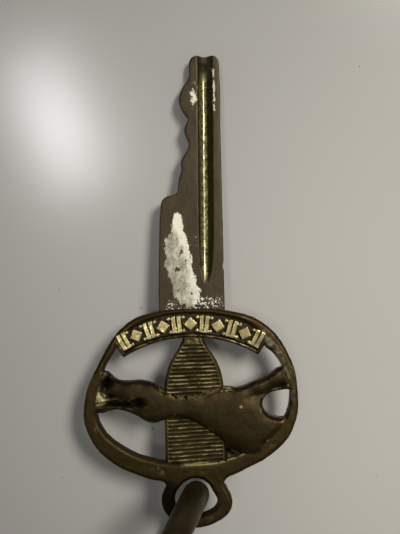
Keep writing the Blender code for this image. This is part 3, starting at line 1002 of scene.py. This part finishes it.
def blade_material():
    m = Recipe("worn_plated_brass")
    broad = m.patches(3.2, 3.0, (1.0, 0.6, 1.0))
    fine = m.grain(0.45, 8.0)
    scratches = m.noise(0.5, 4.0, 0.7, (2.2, 0.22, 1.0), 12.0, 0.4)
    colour = m.blend(m.step(broad, 0.35, 0.68), BLADE_BROWN, BLADE_BROWN_LIGHT)
    colour = m.tint(colour, m.step(fine, 0.48, 0.75), 0.5, BROWN_DARK)
    colour = m.tint(colour, m.step(scratches, 0.58, 0.75), 0.3, BLADE_SCRATCH)
    worn = m.times(m.step(m.mask("edge"), 0.25, 0.9), m.step(fine, 0.38, 0.62))
    colour = m.tint(colour, worn, 0.6, BLADE_WORN)
    # bare brass in the groove, with dirt and painted shade towards its right wall (the side turned from
    # the lamp), painted shade along both walls, and dirty towards its tip end
    groove = m.step(m.mask("groove"), 0.04, 0.3)
    across = m.mask("across")
    # noisy dirt, plus painted shade that grows towards the groove's right wall
    dirt = m.plus(m.times(fine, 0.9), m.times(across, 0.55))
    gold = m.blend(m.step(dirt, 0.30, 0.62), GROOVE_BRASS, GROOVE_DIRT_AND_SHADE)
    # painted shade along both walls of the groove
    near_wall = m.math("SUBTRACT", m.math("ABSOLUTE", across), m.times(fine, 0.3))
    gold = m.blend(m.step(near_wall, 0.45, 0.8), gold, GROOVE_WALL_SHADE)
    split = m.tree.nodes.new("ShaderNodeSeparateXYZ")
    m.feed(split.inputs[0], m.place)
    x, y = split.outputs["X"], split.outputs["Y"]
    tip = m.step(y, *DULL_TIP)
    gold = m.blend(tip, gold, GROOVE_TIP)
    colour = m.blend(groove, colour, gold)
    # plating: a ragged patch and spatter round it, with holes worn through both
    ragged = m.noise(0.75, 6.0, 0.72, (1.25, 0.7, 1.0), 21.0, 0.6)
    edge = m.plus(m.mask("plating"), m.times(m.math("SUBTRACT", ragged, 0.5), 1.9))
    patch = m.step(edge, -0.04, 0.1)
    drops = m.noise(0.33, 3.0, 0.6, PLAIN, 31.0, 0.3)
    spatter = m.step(m.times(drops, m.mask("spatter")), 0.51, 0.58)
    holes = m.step(m.patches(0.8, 85.0, (1.3, 0.7, 1.0)), 0.34, 0.4)
    plated = m.times(m.math("MAXIMUM", patch, spatter), holes)
    # its silver is duller on the left and brighter at the patch's upper end
    wear = m.noise(1.0, 6.0, 0.66, (1.2, 0.8, 1.0), 41.0)
    slant = m.plus(x, m.times(y, 0.2))
    deep = m.plus(m.times(m.step(slant, 0.3, -0.8), 0.26), wear)
    deep = m.math("SUBTRACT", deep, m.times(m.step(y, 5.6, 7.4), 0.3))
    dull = m.blend(m.step(fine, 0.4, 0.66), SILVER_DULL, SILVER_WORN)
    silver = m.blend(m.step(deep, 0.5, 0.86), SILVER, dull)
    colour = m.blend(plated, colour, silver)
    rough = m.mixed(m.step(broad, 0.3, 0.7), 0.36, 0.5)
    chatter = m.noise(0.7, 3.0, 0.55, (0.5, 1.3, 1.0), 51.0)
    rough = m.mixed(groove, rough, m.mixed(m.step(chatter, 0.36, 0.64), 0.2, 0.38))
    rough = m.mixed(m.times(groove, tip), rough, 0.62)
    rough = m.mixed(plated, rough, m.mixed(wear, 0.3, 0.55))
    height = m.plus(m.times(fine, 0.7), m.times(scratches, 0.5))
    height = m.plus(height, m.times(plated, 0.8))
    return m.done(colour, rough, 0.9, height, 0.6)


def rim_material():
    m = Recipe("dark_patina_brass")
    broad = m.patches(4.5, 5.0)
    warm = m.patches(2.6, 15.0)
    fine = m.grain(0.4, 2.0)
    colour = m.blend(m.step(broad, 0.38, 0.64), OLIVE, RIM_BROWN)
    colour = m.tint(colour, m.step(warm, 0.5, 0.68), 0.75, BRONZE_RED)
    colour = m.tint(colour, m.step(fine, 0.5, 0.72), 0.45, OLIVE_DARK)
    colour = m.blend(m.step(m.mask("relief"), 0.0, -0.8), colour, SOOT_AND_SHADOW)
    rubbed = m.worn(0.12, 0.6, 1.6, 33.0, 0.48, 0.64)
    colour = m.tint(colour, rubbed, 0.6, RIM_RUBBED)
    # painted highlight in bright gold along the crest of the lower inner edge
    crest_highlight = m.times(m.mask("crest_highlight"), m.step(m.patches(0.8, 71.0, (0.7, 1.0, 1.0)), 0.42, 0.5))
    colour = m.blend(crest_highlight, colour, RIM_CREST_HIGHLIGHT)
    # painted shadow of the ring, near black on the loop's left arm
    colour = m.tint(colour, m.mask("ring_shadow"), 0.85, SOOT_AND_SHADOW)
    # grey wear: small patches away from the walls, and a rubbed stretch at the upper right that runs on
    # down the right side as painted sheen
    flecks = m.step(m.noise(2.2, 5.0, 0.62, PLAIN, 52.0), 0.6, 0.68)
    flecks = m.times(m.times(flecks, m.step(m.mask("wall"), 0.25, 0.7)), 0.55)
    rub_and_sheen = m.times(m.mask("rub_and_sheen"), m.step(m.patches(1.0, 91.0), 0.42, 0.56))
    colour = m.blend(m.math("MAXIMUM", flecks, rub_and_sheen), colour, RIM_GREY_WEAR_AND_SHEEN)
    rough = m.mixed(m.step(fine, 0.3, 0.7), 0.4, 0.56)
    rough = m.mixed(rubbed, rough, 0.3)
    rough = m.mixed(crest_highlight, rough, 0.38)
    return m.done(colour, rough, 0.85, m.plus(fine, m.times(broad, 0.6)), 0.6)


def banner_material():
    m = Recipe("banner_dark_field")
    fine = m.grain(0.35, 4.0)
    colour = m.blend(m.step(m.patches(1.8, 14.0), 0.4, 0.65), OLIVE, BANNER_BROWN)
    field = m.blend(m.step(fine, 0.4, 0.66), FIELD_DARK, FIELD_LIGHT)
    colour = m.blend(m.mask("field"), colour, field)
    rubbed = m.worn(0.08, 0.5, 1.1, 44.0, 0.5, 0.62)
    colour = m.blend(rubbed, colour, BRASS_GOLD)
    return m.done(colour, m.mixed(rubbed, 0.5, 0.3), 0.7, fine, 0.7)


def marks_material():
    m = Recipe("rubbed_bright_brass")
    fine = m.noise(0.5, 4.0, 0.55, PLAIN, 6.0)
    blotch = m.patches(0.9, 16.0)
    colour = m.blend(m.step(blotch, 0.38, 0.64), MARK_BRIGHT, MARK_DULL)
    dirt = m.plus(m.times(m.mask("edge"), -0.8), m.times(fine, 0.6))
    colour = m.blend(m.step(dirt, 0.30, 0.62), colour, MARK_DIRT)
    rough = m.mixed(m.step(blotch, 0.35, 0.7), 0.27, 0.42)
    return m.done(colour, rough, 1.0, fine, 0.3)


def panel_material():
    m = Recipe("ribbed_olive_brass")
    fine = m.grain(0.35, 9.0)
    broad = m.patches(2.4, 19.0)
    colour = m.blend(m.step(broad, 0.36, 0.64), PANEL_LIGHT, PANEL_DARK)
    colour = m.tint(colour, m.step(m.mask("edge"), 0.0, -0.6), 0.7, SOOT_AND_SHADOW)
    worn = m.step(m.noise(1.2, 5.0, 0.65, (0.6, 2.0, 1.0), 29.0), 0.48, 0.6)
    worn = m.times(worn, m.mixed(m.step(m.mask("ribs"), 0.2, 0.8), 0.06, 1.0))
    shine = m.times(m.step(m.mask("edge"), 0.05, 0.5), worn)
    colour = m.blend(shine, colour, PANEL_SHINE)
    colour = m.tint(colour, m.mask("back"), 0.9, OLIVE)
    height = m.plus(fine, m.times(broad, 0.3))
    return m.done(colour, m.mixed(shine, 0.46, 0.28), 0.8, height, 0.6)


def scroll_material():
    m = Recipe("smooth_bronze_patina")
    broad = m.patches(3.6, 7.0)
    warm = m.patches(2.2, 17.0)
    fine = m.grain(0.38, 27.0)
    colour = m.blend(m.step(broad, 0.36, 0.66), SCROLL_LIGHT, SCROLL_DARK)
    colour = m.tint(colour, m.step(warm, 0.52, 0.7), 0.35, BRONZE_RED)
    colour = m.tint(colour, m.step(fine, 0.52, 0.74), 0.3, OLIVE_DARK)
    colour = m.blend(m.step(m.mask("relief"), -0.15, -1.1), colour, SOOT_AND_SHADOW)
    rubbed = m.worn(0.1, 0.45, 1.3, 37.0, 0.5, 0.64)
    colour = m.tint(colour, rubbed, 0.7, SCROLL_RUBBED)
    # painted glints and a painted highlight spot, in bright brass
    glints = m.times(m.mask("crossing_glints"), m.step(m.patches(0.9, 57.0), 0.44, 0.56))
    glints = m.math("MAXIMUM", glints, m.mask("spot"))
    colour = m.tint(colour, glints, 0.85, BRASS_GLINT)
    colour = m.blend(m.times(m.mask("facet"), m.step(fine, 0.35, 0.5)), colour, SCROLL_FACET)
    rough = m.mixed(glints, m.mixed(m.step(fine, 0.3, 0.7), 0.42, 0.52), 0.25)
    height = m.plus(m.times(fine, 0.6), m.times(broad, 0.5))
    return m.done(colour, rough, 0.8, height, 0.5)


def ring_material():
    m = Recipe("brown_bronze_wire")
    broad = m.patches(5.0, 1.0)
    fine = m.grain(0.5, 11.0)
    scratches = m.noise(0.6, 4.0, 0.7, (1.0, 1.0, 0.25), 23.0, 0.5)
    colour = m.blend(m.step(broad, 0.36, 0.64), RING_LIGHT, RING_DARK)
    colour = m.tint(colour, m.step(fine, 0.5, 0.72), 0.4, BROWN_DARK)
    colour = m.tint(colour, m.step(scratches, 0.6, 0.72), 0.4, RING_SCRATCH)
    rough = m.mixed(m.step(broad, 0.3, 0.7), 0.4, 0.52)
    height = m.plus(m.times(fine, 0.6), m.times(scratches, 0.6))
    return m.done(colour, rough, 0.7, height, 0.45)


FLOOR_SIZE_M = 3.0
FLOOR_TILT_DEG = 6.75
FLOOR_TOUCH_Y = 29.0
FLOOR_BELOW = 0.05


def floor_material():
    m = Recipe("glossy_pale_floor")
    soft = m.noise(40.0, 3.0, 0.5, PLAIN, 2.0)
    specks = m.noise(1.3, 2.0, 0.5, PLAIN, 61.0)
    colour = m.blend(soft, FLOOR_PALE, FLOOR_PALEST)
    colour = m.tint(colour, m.step(specks, 0.755, 0.79), 0.7, FLOOR_SPECK)
    m.shader.inputs["Specular IOR Level"].default_value = 0.5
    height = m.noise(6.0, 3.0, 0.5, PLAIN, 5.0)
    material = m.done(colour, m.mixed(soft, 0.15, 0.2), 0.0, height, 0.12, 0.05)
    # seen from below, the floor is clear, so that the key's back shows
    clear = m.tree.nodes.new("ShaderNodeBsdfTransparent")
    chooser = m.tree.nodes.new("ShaderNodeMixShader")
    behind = m.tree.nodes.new("ShaderNodeNewGeometry").outputs["Backfacing"]
    m.feed(chooser.inputs[0], behind)
    m.feed(chooser.inputs[1], m.shader.outputs[0])
    m.feed(chooser.inputs[2], clear.outputs[0])
    m.feed(m.tree.nodes["Material Output"].inputs["Surface"], chooser.outputs[0])
    return material


def build_stage():
    """The pale floor that the blade's tip and the ring rest on."""
    bpy.ops.mesh.primitive_grid_add(x_subdivisions=8, y_subdivisions=8, size=FLOOR_SIZE_M)
    floor = bpy.context.object
    floor.name = "floor"
    floor.rotation_euler = (math.radians(FLOOR_TILT_DEG), 0.0, 0.0)
    floor.location = (0.0, FLOOR_TOUCH_Y * MM, -FLOOR_BELOW * MM)
    floor.data.materials.append(floor_material())


# Lights. Places and sizes are in metres
ROOM_COLOUR = (0.80, 0.80, 0.78, 1.0)
ROOM_STRENGTH = 0.095
MAIN_PLACE = (0.16, 0.085, 0.29)
MAIN_TARGET = (0.060, -0.004, 0.0)
MAIN_WATTS = 6.4
MAIN_COLOUR = (1.0, 0.98, 0.93)
MAIN_SOFTNESS = 0.085
MAIN_BEAM_DEG = 24.5
MAIN_BLEND = 0.85
SIDE_PLACE = (-0.084, 0.0, 0.39)
SIDE_TARGET = (-0.02, 0.022, 0.0)
SIDE_WATTS = 0.0018
SIDE_COLOUR = (0.97, 0.98, 1.0)
SIDE_SIZE = (0.085, 0.035)
SIDE_SPREAD_DEG = 16.0
LOW_TURNS_DEG = (-60.0, 60.0, 180.0)
LOW_DISTANCE = 0.34
LOW_HEIGHT = 0.09
LOW_TARGET = (0.0, -0.01, 0.0)
LOW_WATTS = 0.06
LOW_COLOUR = (1.0, 0.98, 0.95)
LOW_SIZE = 0.2


def add_lamp(name, kind, place, target, watts, colour):
    data = bpy.data.lights.new(name, kind)
    data.energy = watts
    data.color = colour
    lamp = bpy.data.objects.new(name, data)
    lamp.location = place
    lamp.rotation_euler = (Vector(target) - Vector(place)).to_track_quat("-Z", "Y").to_euler()
    bpy.context.scene.collection.objects.link(lamp)
    return data


def build_light():
    """A soft lamp high on the right whose beam fades to the lower left, a faint one on the upper left,
    and three low ones round the key that light its sides."""
    world = bpy.data.worlds.new("soft_room")
    world.use_nodes = True
    background = world.node_tree.nodes["Background"]
    background.inputs["Color"].default_value = ROOM_COLOUR
    background.inputs["Strength"].default_value = ROOM_STRENGTH
    bpy.context.scene.world = world
    main = add_lamp("main_lamp", "SPOT", MAIN_PLACE, MAIN_TARGET, MAIN_WATTS, MAIN_COLOUR)
    main.shadow_soft_size = MAIN_SOFTNESS
    main.spot_size = math.radians(MAIN_BEAM_DEG)
    main.spot_blend = MAIN_BLEND
    side = add_lamp("side_softbox", "AREA", SIDE_PLACE, SIDE_TARGET, SIDE_WATTS, SIDE_COLOUR)
    side.shape = "RECTANGLE"
    side.size, side.size_y = SIDE_SIZE
    side.spread = math.radians(SIDE_SPREAD_DEG)
    for turn_deg in LOW_TURNS_DEG:
        turn = math.radians(turn_deg)
        place = (LOW_DISTANCE * math.sin(turn), -LOW_DISTANCE * math.cos(turn), LOW_HEIGHT)
        low = add_lamp("low_softbox", "AREA", place, LOW_TARGET, LOW_WATTS, LOW_COLOUR)
        low.size = LOW_SIZE


CAMERA_PLACE = (1.31, 1.69, 106.5)
CAMERA_TURN_DEG = -1.4
CAMERA_LENS = 54.45
CAMERA_SENSOR = 36.0
CAMERA_CLIP_M = (0.005, 20.0)


def build_camera():
    data = bpy.data.cameras.new("photo_view")
    data.lens = CAMERA_LENS
    data.sensor_width = CAMERA_SENSOR
    data.clip_start, data.clip_end = CAMERA_CLIP_M
    camera = bpy.data.objects.new("photo_view", data)
    camera.location = Vector(CAMERA_PLACE) * MM
    camera.rotation_euler = (0.0, 0.0, math.radians(CAMERA_TURN_DEG))
    bpy.context.scene.collection.objects.link(camera)
    bpy.context.scene.camera = camera


build_camera()
build_light()
build_stage()
build_blade()
build_rim()
build_banner()
build_marks()
build_panel()
build_scroll()
build_ring()
bpy.context.scene.view_settings.view_transform = "Standard"
